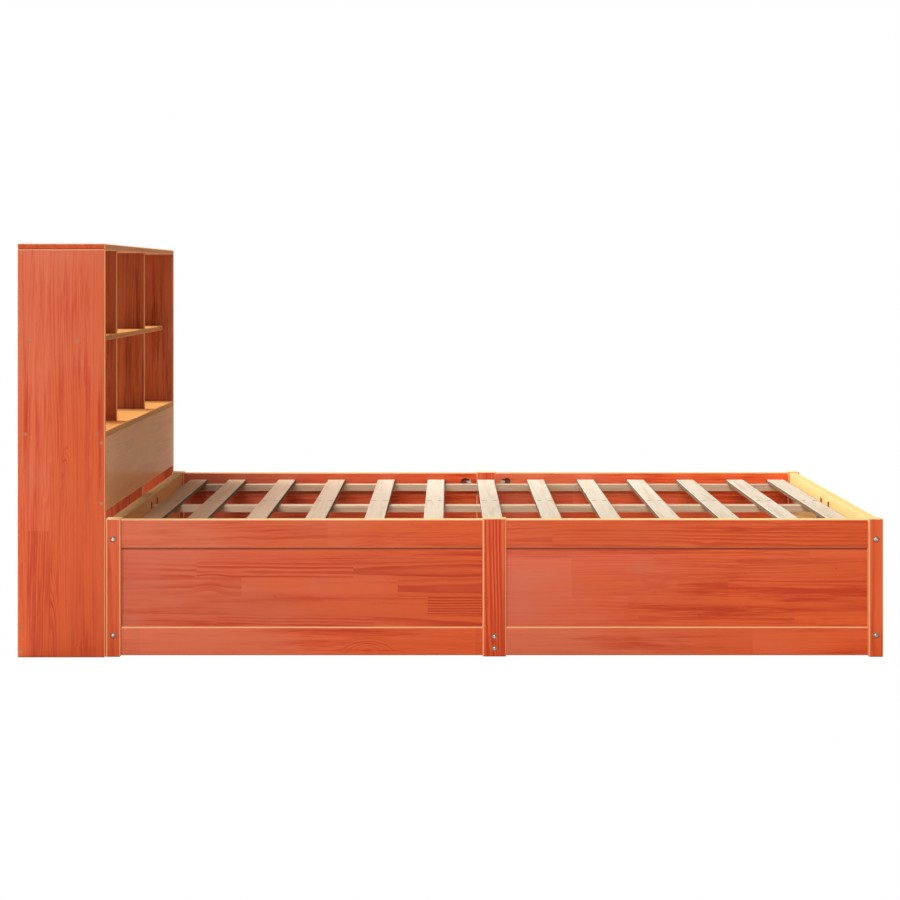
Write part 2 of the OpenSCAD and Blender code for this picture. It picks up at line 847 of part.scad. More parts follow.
cabinet_side();  // cabinet_side_near
mirror([0, 1, 0]) cabinet_side();  // cabinet_side_far
cabinet_top();
cabinet_shelf();
cabinet_floor();
divider_upper();  // divider_upper_near
mirror([0, 1, 0]) divider_upper();  // divider_upper_far
divider_lower();  // divider_lower_near
mirror([0, 1, 0]) divider_lower();  // divider_lower_far
cabinet_fascia();
cabinet_support();
cabinet_rear_rail();
near() head_half() corner_post();  // post_head_near
far() head_half() corner_post();  // post_head_far
near() foot_half() corner_post();  // post_foot_near
far() foot_half() corner_post();  // post_foot_far
near() foot_half() side_mid_post();  // mid_post_near
far() foot_half() side_mid_post();  // mid_post_far
at_head() end_mid_post();  // mid_post_head
at_foot() end_mid_post();  // mid_post_foot
near() head_half() side_top_rail();  // side_top_rail_near_head
near() foot_half() side_top_rail();  // side_top_rail_near_foot
far() head_half() side_top_rail();  // side_top_rail_far_head
far() foot_half() side_top_rail();  // side_top_rail_far_foot
near() head_half() side_low_rail();  // side_low_rail_near_head
near() foot_half() side_low_rail();  // side_low_rail_near_foot
far() head_half() side_low_rail();  // side_low_rail_far_head
far() foot_half() side_low_rail();  // side_low_rail_far_foot
near() head_half() side_panel();  // side_panel_near_head
near() foot_half() side_panel();  // side_panel_near_foot
far() head_half() side_panel();  // side_panel_far_head
far() foot_half() side_panel();  // side_panel_far_foot
at_head() end_near() end_top_rail();  // head_top_rail_near
at_head() end_far() end_top_rail();  // head_top_rail_far
at_foot() end_near() end_top_rail();  // foot_top_rail_near
at_foot() end_far() end_top_rail();  // foot_top_rail_far
at_head() end_near() end_low_rail();  // head_low_rail_near
at_head() end_far() end_low_rail();  // head_low_rail_far
at_foot() end_near() end_low_rail();  // foot_low_rail_near
at_foot() end_far() end_low_rail();  // foot_low_rail_far
at_head() end_near() end_panel();  // head_panel_near
at_head() end_far() end_panel();  // head_panel_far
at_foot() end_near() end_panel();  // foot_panel_near
at_foot() end_far() end_panel();  // foot_panel_far
near() ledger();  // ledger_near
far() ledger();  // ledger_far
centre_beam();
beam_cleats();
cross_rail();
centre_leg();
slats();
frame_bolts();
barrel_nuts();
pocket_bolts();
frame_dowels();
cabinet_dowels();
cabinet_screws();
slat_screws();
ledger_screws();
cleat_screws();
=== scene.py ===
"""Looks of a pine bed frame with a bookcase headboard. Lengths are in metres."""

import math

import bpy
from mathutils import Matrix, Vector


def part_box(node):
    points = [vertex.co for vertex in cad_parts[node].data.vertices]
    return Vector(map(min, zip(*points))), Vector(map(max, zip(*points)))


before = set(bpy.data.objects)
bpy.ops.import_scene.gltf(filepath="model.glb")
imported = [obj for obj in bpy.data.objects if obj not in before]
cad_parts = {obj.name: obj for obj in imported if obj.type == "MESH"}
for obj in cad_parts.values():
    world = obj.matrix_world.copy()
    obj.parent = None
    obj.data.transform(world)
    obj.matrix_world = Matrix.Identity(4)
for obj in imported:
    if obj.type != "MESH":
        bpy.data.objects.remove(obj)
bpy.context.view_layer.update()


# Shader maths.

def join(tree, slot, operand):
    """Links a socket, or sets a constant."""
    value = operand.value if isinstance(operand, Sock) else operand
    if isinstance(value, bpy.types.NodeSocket):
        tree.links.new(value, slot)
    else:
        slot.default_value = value


def add_node(tree, kind, settings, sockets):
    """Adds a node: first its settings, then a value or a link for each socket."""
    made = tree.nodes.new(kind)
    for key, value in settings.items():
        setattr(made, key, value)
    for key, operand in sockets.items():
        join(tree, made.inputs[key], operand)
    return made


class Sock:
    """A shader socket or a constant, with arithmetic that adds the nodes."""

    def __init__(self, tree, value):
        self.tree = tree
        self.value = value

    def maths(self, operation, *others):
        operands = dict(enumerate((self,) + others))
        return Sock(self.tree, add_node(self.tree, "ShaderNodeMath", {"operation": operation}, operands).outputs[0])

    def __add__(self, other):
        return self.maths("ADD", other)

    def __sub__(self, other):
        return self.maths("SUBTRACT", other)

    def __mul__(self, other):
        return self.maths("MULTIPLY", other)

    def __truediv__(self, other):
        return self.maths("DIVIDE", other)

    def __rsub__(self, other):
        return Sock(self.tree, other).maths("SUBTRACT", self)

    __radd__ = __add__
    __rmul__ = __mul__

    def floor(self):
        return self.maths("FLOOR")

    def fract(self):
        return self.maths("FRACT")

    def sqrt(self):
        return self.maths("SQRT")

    def absolute(self):
        return self.maths("ABSOLUTE")

    def least(self, other):
        return self.maths("MINIMUM", other)

    def most(self, other):
        return self.maths("MAXIMUM", other)

    def ramp(self, low, high):
        """0 below low, 1 above high, with a smooth rise between."""
        made = add_node(self.tree, "ShaderNodeMapRange", {"interpolation_type": "SMOOTHSTEP"},
                        {"Value": self, "From Min": low, "From Max": high})
        return Sock(self.tree, made.outputs["Result"])


def radius(a, b):
    """Distance from the middle of a plane, from the two parts of a place on it."""
    return (a * a + b * b).sqrt()


class Shader:
    """One material's node tree."""

    def __init__(self, name):
        self.material = bpy.data.materials.new(name)
        self.material.use_nodes = True
        self.tree = self.material.node_tree
        self.surface = self.tree.nodes["Principled BSDF"]

    def node(self, kind, output, sockets=(), **settings):
        """Adds a node and returns one of its outputs, by name or place."""
        return Sock(self.tree, add_node(self.tree, kind, settings, dict(sockets)).outputs[output])

    def split(self, vector):
        """The three parts of a vector socket."""
        made = add_node(self.tree, "ShaderNodeSeparateXYZ", {}, {0: vector})
        return [Sock(self.tree, made.outputs[axis]) for axis in range(3)]

    def vector(self, x, y, z):
        return self.node("ShaderNodeCombineXYZ", 0, {"X": x, "Y": y, "Z": z})

    def noise(self, vector, detail, rough=0.5, scale=1.0):
        """Soft noise between about 0.2 and 0.8, round 0.5."""
        return self.node("ShaderNodeTexNoise", "Fac",
                         {"Vector": vector, "Scale": scale, "Detail": detail, "Roughness": rough})

    def random(self, vector):
        """Three random values that change only where the vector does."""
        return self.split(self.node("ShaderNodeTexWhiteNoise", "Color", {"Vector": vector}, noise_dimensions="3D"))

    def mix(self, factor, first, second):
        return self.node("ShaderNodeMix", 2, {"Factor": factor, 6: first, 7: second}, data_type="RGBA")

    def shade(self, colour, factor):
        """A colour made lighter or darker by a factor."""
        colour = colour[:3] if isinstance(colour, tuple) else colour
        return self.node("ShaderNodeVectorMath", 0, {0: colour, "Scale": factor}, operation="SCALE")

    def finish(self, **sockets):
        """Sets sockets of the surface, with _ for a space in their names."""
        for key, operand in sockets.items():
            join(self.tree, self.surface.inputs[key.replace("_", " ")], operand)
        return self.material


# Colours, as linear values.

def rgb(red, green, blue):
    return (red, green, blue, 1.0)


def wood_colours(light, dark, pale, stained=False):
    """Colours of early wood, late wood and milky places."""
    return {"light": rgb(*light), "dark": rgb(*dark), "pale": rgb(*pale), "stained": stained}


STAIN = wood_colours((0.720, 0.098, 0.015), (0.500, 0.030, 0.001), (0.690, 0.150, 0.068), stained=True)
PANEL = dict(STAIN, pale=rgb(0.630, 0.134, 0.072))
# Darker colours for boards inside the bookcase: painted shade, standing in for the compartments' shadow.
INSIDE_SHADED = wood_colours((0.485, 0.132, 0.048), (0.232, 0.030, 0.005), (0.485, 0.154, 0.072), stained=True)
BARE = wood_colours((0.66, 0.48, 0.34), (0.50, 0.32, 0.19), (0.68, 0.54, 0.41))
SLAT = wood_colours((0.66, 0.58, 0.48), (0.54, 0.43, 0.32), (0.68, 0.62, 0.55))
CAP = wood_colours((0.43, 0.19, 0.10), (0.34, 0.14, 0.07), (0.50, 0.27, 0.17))

# Edges and marks of stained wood: worn arrises with a painted highlight, painted shade on arrises that face down,
# dark knots, and painted shadow or shade round bolts, under rails and at the bottoms of pockets.
ARRIS_WEAR_AND_HIGHLIGHT = rgb(1.00, 0.42, 0.20)
ARRIS_UNDER_SHADE = rgb(0.30, 0.05, 0.012)
KNOT_AND_SHADOW_DARK = rgb(0.26, 0.035, 0.006)
TOP_ARRIS_WEAR_AND_HIGHLIGHT = rgb(1.00, 0.66, 0.38)
POCKET_SHADE = rgb(0.24, 0.075, 0.032)

# Colours painted on faces for how light and sheen fall on them: painted light on tops, shelves and the inner faces
# of the head and foot frames, and painted shade on the head frame's top and arrises. HONEY also tints the sheen.
HONEY = rgb(1.0, 0.70, 0.28)
FAR_HONEY = rgb(0.72, 0.36, 0.17)
PINK_HONEY = rgb(1.0, 0.57, 0.35)
FOOT_HONEY = rgb(0.78, 0.57, 0.22)
AMBER = rgb(1.0, 0.46, 0.135)
HEAD_FACE = rgb(1.0, 0.38, 0.13)
HEAD_TOP_SHADE = rgb(0.16, 0.07, 0.03)
HEAD_EDGE_SHADE = rgb(0.50, 0.20, 0.07)

# Shine of raised fibres on the bookcase's boards.
FASCIA_BLOOM = rgb(0.92, 0.64, 0.32)
SHELF_BLOOM = rgb(1.0, 0.53, 0.165)
TOP_BLOOM = rgb(0.92, 0.60, 0.32)

# Bare wood of the deck, with a painted highlight on arrises, and painted shade on the slats' sides, towards the
# headboard and round screw heads.
BARE_ARRIS_HIGHLIGHT = rgb(0.70, 0.60, 0.48)
SLAT_SHADE = rgb(0.37, 0.175, 0.062)
SLAT_SIDE_SHADE = rgb(0.17, 0.10, 0.055)
LEDGER_SHADE = rgb(0.20, 0.13, 0.08)
SCREW_SHADE_COLOUR = rgb(0.10, 0.05, 0.03)

ZINC = rgb(0.66, 0.60, 0.58)
DARK_STEEL = rgb(0.13, 0.10, 0.08)
WHITE = rgb(1.0, 1.0, 1.0)


# Pine.

# Axes along the grain, across it and through the board, for each way a board lies.
GRAINS = {
    "x_side": (0, 2, 1), "x_flat": (0, 1, 2), "y_side": (1, 2, 0), "y_flat": (1, 0, 2),
    "z_side": (2, 0, 1), "z_end": (2, 1, 0)}

# Sets the random values of the staves apart from those of the blocks.
STAVE_DRAW = 3.1

# Up to how many blocks the joints are shifted from one stave to the next.
STAGGER = 7.0

# The pith line of a block runs beside it and behind it, and leans.
PITH_ASIDE = 0.16
PITH_BEHIND = 0.010
PITH_DEEPER = 0.05
PITH_LEAN = 0.05

# How far slow drift, quick waves and small swirls move the year rings.
DRIFT = 0.03
WAVE = 0.004
SWIRL = 0.006

# Width of the narrowest year ring, how much wider others are, and how far they crowd, in rings.
RING = 0.0060
RING_MORE = 0.0035
CROWDING = 1.6

# The most of the stain that late wood and dark lines cover.
DARKEST = 0.9

# A surface turns towards a side as that part of its normal rises between these values.
TURNED = (0.4, 0.8)

# An arris fades in as the largest part of the normal drops below 1 by these values.
ARRIS = (0.01, 0.12)

# Painted shadows round bolts and screw heads, and dark knots, fade out between these distances from their middles.
BOLT_SHADOW_FADE = (0.0070, 0.0100)
KNOT_MARK = (0.0015, 0.0040)
SCREW_SHADE_FADE = (0.0045, 0.0090)

# A bolt's painted shadow lies this far right of its head and below it, and a knot is this many times wider than
# high.
BOLT_SHADOW_OFFSET = 0.0008
KNOT_WIDTH = 1.6

# Pockets are cut deeper than this from the face they open to; their bottoms take painted shade.
POCKET_DEPTH = (0.004, 0.005)


class Pine(Shader):
    """Pine on one CAD node, glued up from staves and blocks."""

    def __init__(self, node, grain, seed, stave, block):
        super().__init__(node + "_pine")
        low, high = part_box(node)
        self.seed = seed
        self.stave = stave
        self.half = [(high[i] - low[i]) / 2 for i in range(3)]
        self.place = self.split(self.node("ShaderNodeTexCoord", "Object"))
        self.centred = [part - (low[i] + high[i]) / 2 for i, part in enumerate(self.place)]
        self.normal = self.split(self.node("ShaderNodeTexCoord", "Normal"))
        self.axes = GRAINS[grain]
        self.length = 2.0 * self.half[self.axes[0]]
        self.along, self.across, self.depth = [self.centred[axis] for axis in self.axes]
        self.staves = self.across / stave + 0.5
        row = self.staves.floor()
        self.of_stave = self.random(self.vector(row, seed, STAVE_DRAW))
        column = (self.along / block + self.of_stave[0] * STAGGER).floor()
        self.of_block = self.random(self.vector(row, column, seed))

    def facing(self, side):
        """1 where the surface faces a side such as -x."""
        part = self.normal["xyz".index(side[1])]
        return (part if side[0] == "+" else 0.0 - part).ramp(*TURNED)

    def inward(self, side):
        """Distance from the box's face on a side."""
        axis = "xyz".index(side[1])
        return self.half[axis] - self.centred[axis] if side[0] == "+" else self.centred[axis] + self.half[axis]

    def drawn_out(self, lengthwise, crosswise, detail, rough=0.5, start=(0.0, 0.0, 0.0)):
        """Noise with so many waves to the metre along the grain, and across it."""
        parts = (self.along * lengthwise, self.across * crosswise, self.depth * crosswise)
        return self.noise(self.vector(*[part + begin for part, begin in zip(parts, start)]), detail, rough)

    def year_rings(self, flames, growth):
        """The dark late wood, and how strongly it shows from block to block.

        The rings are cylinders round a pith line beside each block, slightly
        tilted and warped, so faces, edges and end grain all cut the same rings.
        A ring's number is the distance from the pith over its width."""
        first, second, third = self.of_block
        drift = self.drawn_out(1.2, 7.0, 1.0, start=(0.0, 0.0, self.seed))
        wave = self.drawn_out(9.0, 34.0, 1.0, start=(second * 9.0, 0.0, 0.0))
        swirl = self.drawn_out(6.0, 18.0, 0.0, start=(self.seed, first, 0.0)).ramp(0.64, 0.82)
        aside = (self.staves.fract() - 0.5) * self.stave - (second - 0.5) * PITH_ASIDE
        behind = self.depth + third * PITH_DEEPER + PITH_BEHIND
        lean = self.along * ((first - 0.5) * PITH_LEAN)
        distance = radius(aside, behind) + lean + (drift - 0.5) * DRIFT + (wave - 0.5) * WAVE + swirl * SWIRL
        strength = ((self.of_stave[1] + first).fract() - 0.30).most(0.0) * 0.9
        for where, reach, lift in flames:
            a, b = [(self.place[self.axes[i]] - where[i]) / reach[i] for i in (0, 1)]
            hump = (1.0 - (a * a + b * b)).most(0.0)
            hump = hump * hump
            distance = distance + hump * lift
            strength = strength + hump * 0.9
        crowd = self.noise(self.vector(distance * 50.0, self.seed, second * 7.0), 2.0)
        count = distance / ((RING + self.of_stave[2] * RING_MORE) * growth) + (crowd - 0.5) * CROWDING
        ring = count.fract()
        tones = self.random(self.vector(count.floor(), self.seed, first))[0]
        late = ring.ramp(0.2, 0.85) * (1.0 - ring.ramp(0.90, 1.0)) * (0.3 + tones * 0.7)
        return late, strength

    def milk(self, veil):
        """Milky patches of stain, and paler colour that grows along the piece towards one end."""
        patch = self.noise(self.vector(self.along * 3.0 + self.seed, self.across * 5.0, self.depth + self.seed), 2.0)
        milk = (patch - 0.5) * 1.2 + self.of_block[0] * 0.2
        if veil:
            milk = milk + self.along * (veil / self.length) + abs(veil) / 2
        milk = milk.most(0.0).least(1.0)
        return milk * (0.15 + milk * 0.85)

    def near_marks(self, marks):
        """Distance across the top from the nearest crossing of two sets of places, in x and in y."""
        gaps = []
        for part, places in zip(self.place, marks):
            gap = (part - places[0]).absolute()
            for place in places[1:]:
                gap = gap.least((part - place).absolute())
            gaps.append(gap)
        return radius(*gaps)


def pine(node, grain, seed, stave=1.0, block=9.0, colours=STAIN, veil=0.0, figure=0.5, growth=1.0, flames=(),
         tone=1.0, front=1.0, inner=(), dim=(), honey=None, rubbed=TOP_ARRIS_WEAR_AND_HIGHLIGHT, worn_lit_rims=(), bolts=(), knots=(),
         screws=(), edge_shadows=(), pocket=None, bloom=HONEY, fuzz=1.0, coat=0.3):
    """Pine for one CAD node, with its grain along one axis.

    stave, block -- width and length of the pieces it is glued up from
    veil -- how much paler the colour grows towards one end, the low end where below 0
    figure, growth -- strength of the year rings, and how wide they are
    flames -- where the rings bulge: a place, its reach and its lift
    tone, front -- how light the piece is, and how light its +x faces are, as painted shade where below 1
    inner -- painted light and shade on the -y faces: how light they are at the low end and the high end
    dim -- painted shadow of the headboard: its colour, where its run in x starts and ends, and its weight
    honey -- sides painted lighter or darker for how light falls on them, each with its colour
    rubbed -- colour of the arris round a top with painted face light: partly wear and partly a painted highlight, or
    painted shade on the head frame rims -- edges of the outer face, partly worn and partly a painted highlight:
    side, width and weight bolts, knots -- x and z of bolts with a painted shadow round them, and of knots
    screws -- the x places and the y places of screw heads in the top, which get painted shade round them
    pools -- edges along which shadow is painted: side, start and end of the fade
    pocket -- the side that the joint's pockets open to, whose bottoms take painted shade
    bloom, fuzz -- colour and strength of the soft shine of raised fibres at a low angle
    coat -- weight of the clear coat"""
    s = Pine(node, grain, seed, stave, block)
    x, y, z = s.place
    nx, ny, nz = s.normal
    honey = honey or {}

    # Early wood, milky places, year rings and fine dark lines.
    late, strength = s.year_rings(flames, growth)
    milk = s.milk(veil)
    fibre = s.drawn_out(30.0, 700.0, 2.0)
    streak = s.drawn_out(2.4, 55.0, 4.0, 0.75, start=(0.0, 0.0, seed))
    dash = s.drawn_out(12.0, 280.0, 1.0, start=(0.0, 0.0, seed * 3.0)).ramp(0.66, 0.80)
    cloud = s.drawn_out(2.2, 12.0, 3.0, start=(0.0, 0.0, seed * 1.7))
    region = cloud.ramp(0.35, 0.70)
    rings = late * ((strength + region * 0.45) * figure * 2.2) * (1.0 - milk * 0.85)
    lines = ((streak - 0.47).most(0.0) * 6.4 + dash * 0.7) * (0.22 + region * 0.85) * (1.0 - milk * 0.6)
    colour = s.mix(milk, colours["light"], colours["pale"])
    colour = s.mix(rings.least(DARKEST), colour, colours["dark"])
    colour = s.mix(lines.least(DARKEST), colour, colours["dark"])
    colour = s.shade(colour, (0.86 + s.of_block[0] * 0.10 + cloud * 0.14 + (fibre - 0.5) * 0.10) * tone)

    # Painted light and shade on faces: by the side they face, along their run, and towards the headboard.
    # Painted shade on the +x faces.
    if front != 1.0:
        colour = s.shade(colour, 1.0 - s.facing("+x") * (1.0 - front))
    # Painted light and shade along the run of the -y faces.
    if inner:
        lit = (s.along / s.length + 0.5) * (inner[1] - inner[0]) + inner[0]
        colour = s.shade(colour, s.facing("-y") * (lit - 1.0) + 1.0)
    # Painted shadow of the headboard, darkest at the head end.
    if dim:
        shadow, start, end, weight = dim
        colour = s.mix((1.0 - x.ramp(start, end)) * weight, colour, shadow)
    # Painted shade on the slats' sides.
    if colours is SLAT:
        colour = s.mix(nx.absolute().ramp(*TURNED), colour, SLAT_SIDE_SHADE)
    # Painted light or shade on the listed sides, for how light and sheen fall on them.
    for side, face_colour in honey.items():
        colour = s.mix(s.facing(side) * 0.92, colour, s.shade(face_colour, 0.84 + cloud * 0.2 - late * 0.12))

    # Rounded edges: partly worn and partly a painted highlight where they face up or sideways, painted shade where
    # they face down.
    arris = (1.0 - nx.absolute().most(ny.absolute()).most(nz.absolute())).ramp(*ARRIS)
    upward = nz.ramp(0.2, 0.5)
    edge = s.mix(nz.ramp(-0.6, -0.1), ARRIS_UNDER_SHADE, ARRIS_WEAR_AND_HIGHLIGHT) if colours["stained"] else BARE_ARRIS_HIGHLIGHT
    # Round a top with painted light, the upper arrises take a painted highlight, partly wear.
    if "+z" in honey:
        edge = s.mix(upward, edge, rubbed)
    # Slats take the painted highlight only on their upper arrises.
    if colours is SLAT:
        arris = arris * upward
    colour = s.mix(arris * 0.85, colour, edge)

    # Edges with wear and a painted highlight, painted shadow and shade round bolts, screws, under rails and in
    # pockets, and dark knots.
    face = ny.absolute().ramp(0.3, 0.6)
    # Bands along the edges: partly wear, partly a painted highlight.
    for side, width, weight in worn_lit_rims:
        rim = 1.0 - s.inward(side).ramp(width * 0.6, width * 1.2)
        colour = s.mix(rim * face * weight, colour, ARRIS_WEAR_AND_HIGHLIGHT)
    # Painted shadow round each bolt head, set off to the lower right.
    for bolt_x, bolt_z in bolts:
        rim = 1.0 - radius(x - bolt_x - BOLT_SHADOW_OFFSET, z - bolt_z + BOLT_SHADOW_OFFSET).ramp(*BOLT_SHADOW_FADE)
        colour = s.mix(rim * face * 0.85, colour, KNOT_AND_SHADOW_DARK)
    for knot_x, knot_z in knots:
        knot = 1.0 - radius(x - knot_x, (z - knot_z) * KNOT_WIDTH).ramp(*KNOT_MARK)
        colour = s.mix(knot * 0.8, colour, KNOT_AND_SHADOW_DARK)
    # Painted shade round the screw heads.
    if screws:
        rim = 1.0 - s.near_marks(screws).ramp(*SCREW_SHADE_FADE)
        colour = s.mix(rim * nz.ramp(*TURNED) * 0.85, colour, SCREW_SHADE_COLOUR)
    # Painted shadow along edges that lie under a rail.
    for side, start, end in edge_shadows:
        colour = s.mix((1.0 - s.inward(side).ramp(start, end)) * face * 0.9, colour, KNOT_AND_SHADOW_DARK)
    # Painted shade at the bottoms of the pockets.
    if pocket:
        colour = s.mix(s.inward(pocket).ramp(*POCKET_DEPTH) * s.facing(pocket), colour, POCKET_SHADE)

    bump = s.node("ShaderNodeBump", "Normal", {"Strength": 0.12, "Distance": 0.001, "Height": late * 0.5 + fibre})
    if colours["stained"]:
        return s.finish(
            Base_Color=colour, Roughness=0.5, Specular_IOR_Level=0.2, Coat_Weight=coat, Coat_Roughness=0.22,
            Sheen_Weight=fuzz, Sheen_Roughness=0.4, Sheen_Tint=bloom, Normal=bump)
    return s.finish(Base_Color=colour, Roughness=0.62, Specular_IOR_Level=0.25, Normal=bump)


def steel(name, colour, roughness):
    """Plated or dark steel, a little uneven in colour and gloss."""
    s = Shader(name)
    grime = s.noise(s.node("ShaderNodeTexCoord", "Object"), 3.0, scale=260.0)
    return s.finish(
        Base_Color=s.shade(colour, 0.85 + grime * 0.3), Metallic=1.0, Roughness=roughness + grime * 0.15)


# Places read from the frame.

def middle(values):
    """Halfway between the lowest and the highest."""
    return (min(values) + max(values)) / 2


def bolt_heads():
    """Centres of the bolt heads in the near side, as x and z."""
    verts = [vert.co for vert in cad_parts["frame_bolts"].data.vertices]
    front = min(vert[1] for vert in verts) + 0.002
    heads = []
    for vert in verts:
        if vert[1] > front:
            continue
        for head in heads:
            if math.hypot(head[0][0] - vert[0], head[0][2] - vert[2]) < 0.025:
                head.append(vert)
                break
        else:
            heads.append([vert])
    return [tuple(middle([vert[axis] for vert in head]) for axis in (0, 2)) for head in heads]


def slat_screw_marks():
    """The x places and the y places at which screw heads lie in the slats."""
    verts = [vert.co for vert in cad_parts["slat_screws"].data.vertices]
    top = max(vert[2] for vert in verts) - 0.0005
    marks = []
    for axis in (0, 1):
        groups = []
        for value in sorted(vert[axis] for vert in verts if vert[2] > top):
            if groups and value - groups[-1][0] < 0.010:
                groups[-1].append(value)
            else:
                groups.append([value])
        marks.append([middle(group) for group in groups])
    return marks


# How each wooden node looks: words for pine().

PANEL_KNOTS = ((-0.471, 0.1595), (0.667, 0.111), (1.036, 0.234))
# Painted shadow under the top rail, along the upper edge of the near panels.
PANEL_TOP_SHADOW = ("+z", 0.0122, 0.0148)
SIDE_FLAMES = (((0.510, -1.034), (0.075, 0.018), 0.022), ((0.050, -1.061), (0.240, 0.028), 0.026))
RAIL_FLAME_X = -0.221
RAIL_FLAME_REACH = (0.095, 0.042)


def end_looks(node):
    """The head and foot frames, with painted light on their inner faces and the foot frame's top, and painted shade
    on the head frame's top and its arrises.
    """
    if "foot" in node:
        return {"honey": {"-x": FOOT_HONEY, "+z": FOOT_HONEY}}
    return {"honey": {"+x": HEAD_FACE, "+z": HEAD_TOP_SHADE}, "fuzz": 0.35, "rubbed": HEAD_EDGE_SHADE}


def post_looks(node):
    """Corner posts, and the middle posts of the sides, with painted light on their tops, worn edges with a painted
    highlight, and painted shadows round the near side's bolts.
    """
    low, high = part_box(node)
    near_head = node == "post_head_near"
    near_middle = node == "mid_post_near"
    return {
        "grain": "z_side",
        "honey": {"+z": PINK_HONEY if near_head else HONEY},
        "veil": 0.5 if near_head else 0.35,
        "figure": 2.3 if near_middle else 0.6,
        "growth": 1.35 if near_middle else 1.0,
        "tone": 0.90 if "head" in node else 1.07,
        "bolts": [head for head in near_heads if low[0] < head[0] < high[0]] if "near" in node else (),
        "worn_lit_rims": (("-x", 0.005, 0.85), ("+x", 0.004, 0.45))}


def side_panel_looks(node):
    """Panels of the sides. The near ones have a few small knots and a painted shadow along the upper edge."""
    near = "near" in node
    veil, figure, tone = (-0.80, 0.50, 1.06) if "foot" in node else (-0.9, 1.3, 0.98)
    return {
        "grain": "x_side", "stave": 0.052, "block": 0.42, "colours": PANEL,
        "veil": veil, "figure": figure, "tone": tone,
        "edge_shadows": (PANEL_TOP_SHADOW,) if near else (),
        "knots": PANEL_KNOTS if near else ()}


def side_rail_looks(node):
    """Top and low rails of the sides, with painted light on their tops and worn edges with a painted highlight. The
    far top rails show their inner faces, painted darker towards the head and lighter towards the foot.
    """
    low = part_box(node)[0]
    top = "top" in node
    far = "far" in node
    looks = {
        "grain": "x_side", "block": 0.9,
        "honey": {"+z": HONEY},
        "veil": -0.6 if far else -1.25,
        "tone": 0.98 if top else 1.08,
        "pocket": "-y" if far else "+y",
        "worn_lit_rims": (("+z", 0.004, 0.2 if top else 0.8), ("-z", 0.0035, 0.25))}
    if node == "side_top_rail_near_foot":
        looks["veil"] = -0.35
    if node.endswith("near_head"):
        height, lift = (low[2] - 0.002, 0.044) if top else (low[2] + 0.030, 0.030)
        looks["flames"] = (((RAIL_FLAME_X, height), RAIL_FLAME_REACH, lift),)
    if top and far:
        looks.update(veil=-1.0, honey={"+z": FAR_HONEY}, rubbed=FAR_HONEY,
                     inner=(0.70, 1.17) if "head" in node else (1.20, 1.42))
    return looks


def end_rail_looks(node):
    """Rails and panels of the head and foot frames."""
    if "panel" in node:
        return {"grain": "y_side", "stave": 0.052, "block": 0.42, **end_looks(node)}
    return {"grain": "y_side", "block": 0.9, "pocket": "-x" if "foot" in node else "+x", **end_looks(node)}


def bookcase_looks(node):
    """Upright boards, then boards that lie across. The far side, dividers, support and rear rail take darker colours
    as painted shade; the remaining boards, shelves and floor, take painted light on their tops and painted shade on
    their +x faces.
    """
    upright = {"grain": "z_side", "stave": 0.062, "block": 0.75}
    if node == "cabinet_side_near":
        return {**upright, "veil": 0.80, "figure": 0.5, "flames": SIDE_FLAMES, "tone": 0.92}
    if node.startswith(("cabinet_side", "divider")) or node == "cabinet_support":
        return {**upright, "colours": INSIDE_SHADED, "figure": 0.3}
    lying = {"grain": "y_side" if node in ("cabinet_rear_rail", "cabinet_fascia") else "y_flat",
             "stave": 0.06, "block": 0.55}
    if node == "cabinet_rear_rail":
        return {**lying, "colours": INSIDE_SHADED, "figure": 0.3}
    if node == "cabinet_fascia":
        return {**lying, "veil": -0.6, "figure": 1.4, "bloom": FASCIA_BLOOM}
    if node == "cabinet_top":
        return {**lying, "tone": 0.8, "bloom": TOP_BLOOM, "fuzz": 0.85, "coat": 0.05}
    return {**lying, "honey": {"+z": AMBER}, "front": 0.4, "bloom": SHELF_BLOOM, "coat": 0.05}


def deck_looks(node):
    """Slats and what carries them."""
    if node == "slats":
        return {"grain": "y_flat", "stave": 0.165, "colours": SLAT, "figure": 0.3, "tone": 1.02,
                "screws": slat_screw_marks(), "dim": (SLAT_SHADE, -1.22, 0.30, 0.92)}
    if node.startswith("ledger"):
        return {"grain": "x_flat", "colours": BARE, "dim": (LEDGER_SHADE, -0.95, -0.50, 0.95)}
    grains = {"centre_beam": "x_flat", "beam_cleats": "y_side", "cross_rail": "y_side", "centre_leg": "z_side"}
    return {"grain": grains[node], "colours": BARE}


def looks_of(node):
    """Chooses the looks of a wooden node by its name."""
    if node == "cabinet_screws":
        return {"grain": "z_side", "stave": 0.05, "block": 0.05, "colours": CAP}
    if node.endswith("dowels"):
        return {"grain": "y_flat", "colours": BARE}
    if node.startswith(("cabinet", "divider")):
        return bookcase_looks(node)
    if node.startswith(("post", "mid_post_near", "mid_post_far")):
        return post_looks(node)
    if node.startswith("mid_post"):
        return {"grain": "z_end", **end_looks(node)}
    if node.startswith("side_panel"):
        return side_panel_looks(node)
    if node.startswith("side"):
        return side_rail_looks(node)
    if node.startswith(("foot", "head")):
        return end_rail_looks(node)
    return deck_looks(node)


def paint(node, material):
    """Gives a CAD node one material."""
    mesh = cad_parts[node].data
    mesh.materials.clear()
    mesh.materials.append(material)


zinc_nodes = ("frame_bolts", "barrel_nuts", "pocket_bolts", "ledger_screws")
dark_nodes = ("slat_screws", "cleat_screws")
near_heads = bolt_heads()
seed = 0
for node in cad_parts:
    if node in zinc_nodes:
        paint(node, steel("zinc_" + node, ZINC, 0.20))
    elif node in dark_nodes:
        paint(node, steel("dark_" + node, DARK_STEEL, 0.45))
    else:
        seed += 1
        paint(node, pine(node, seed=seed, **looks_of(node)))


# Floor and world, which the camera sees as white.

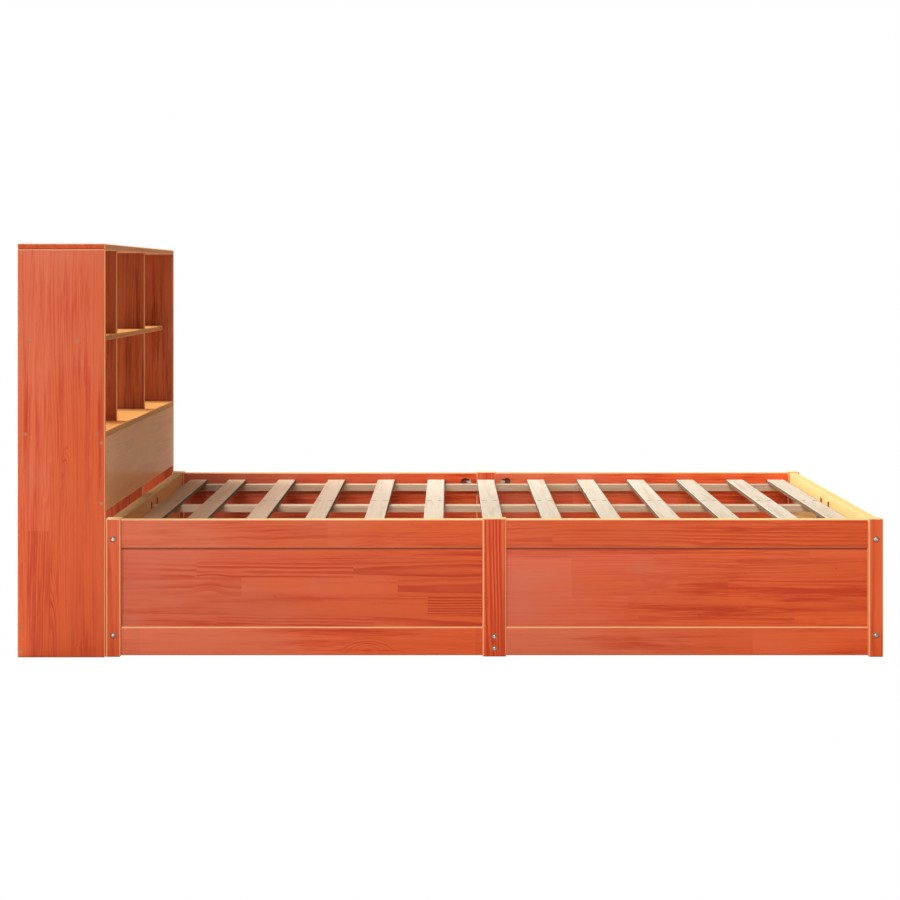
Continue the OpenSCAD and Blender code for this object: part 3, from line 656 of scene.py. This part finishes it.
floor_mesh = bpy.data.meshes.new("floor")
floor_mesh.from_pydata([(-9, -9, 0), (9, -9, 0), (9, 12, 0), (-9, 12, 0)], [], [(0, 1, 2, 3)])
floor = bpy.data.objects.new("floor", floor_mesh)
bpy.context.collection.objects.link(floor)
ground = Shader("pale_floor")
floor_mesh.materials.append(ground.finish(Base_Color=rgb(0.60, 0.58, 0.55), Roughness=0.9))
blend = add_node(ground.tree, "ShaderNodeMixShader", {}, {
    0: ground.node("ShaderNodeLightPath", "Is Camera Ray"),
    1: ground.surface.outputs[0],
    2: ground.node("ShaderNodeEmission", 0, {"Color": WHITE, "Strength": 1.0})})
join(ground.tree, ground.tree.nodes["Material Output"].inputs[0], blend.outputs[0])

ROOM_LIGHT = 0.32
ROOM_TINT = rgb(1.0, 0.90, 0.70)
world = bpy.data.worlds.new("studio")
bpy.context.scene.world = world
world.use_nodes = True
room = world.node_tree
sky = room.nodes["Background"]
seen = add_node(room, "ShaderNodeLightPath", {}, {}).outputs["Is Camera Ray"]
level = add_node(room, "ShaderNodeMix", {}, {"Factor": seen, 2: ROOM_LIGHT, 3: 1.0})
tint = add_node(room, "ShaderNodeMix", {"data_type": "RGBA"}, {"Factor": seen, 6: ROOM_TINT, 7: WHITE})
join(room, sky.inputs["Strength"], level.outputs[0])
join(room, sky.inputs["Color"], tint.outputs[2])


# Lights and camera.

def soft_light(name, place, target, size, power):
    """A rectangular studio light that faces a point."""
    data = bpy.data.lights.new(name, "AREA")
    data.shape = "RECTANGLE"
    data.size, data.size_y = size
    data.energy = power
    light = bpy.data.objects.new(name, data)
    bpy.context.collection.objects.link(light)
    light.location = place
    way = [target[i] - place[i] for i in range(3)]
    flat = math.hypot(way[0], way[1])
    light.rotation_euler = (math.atan2(flat, -way[2]), 0.0, math.atan2(-way[0], way[1]))


soft_light("front_light", (-2.4, -14.5, 6.0), target=(0.0, -0.4, 0.4), size=(6.0, 4.0), power=1280.0)
soft_light("head_light", (-6.5, 3.0, 3.6), target=(0.0, -0.2, 0.4), size=(3.6, 2.4), power=800.0)
soft_light("high_light", (-2.3, 1.6, 4.6), target=(0.4, 0.0, 0.3), size=(2.4, 2.2), power=250.0)

camera_data = bpy.data.cameras.new("camera")
camera_data.sensor_width = 36.0
camera_data.lens = 90.07
camera_data.shift_y = -0.1922
camera_data.clip_end = 60.0
camera = bpy.data.objects.new("camera", camera_data)
bpy.context.collection.objects.link(camera)
camera.location = (-0.0016, -6.774, 1.0182)
camera.rotation_euler = (math.pi / 2, 0.0, 0.0)
bpy.context.scene.camera = camera
bpy.context.scene.view_settings.view_transform = "Standard"
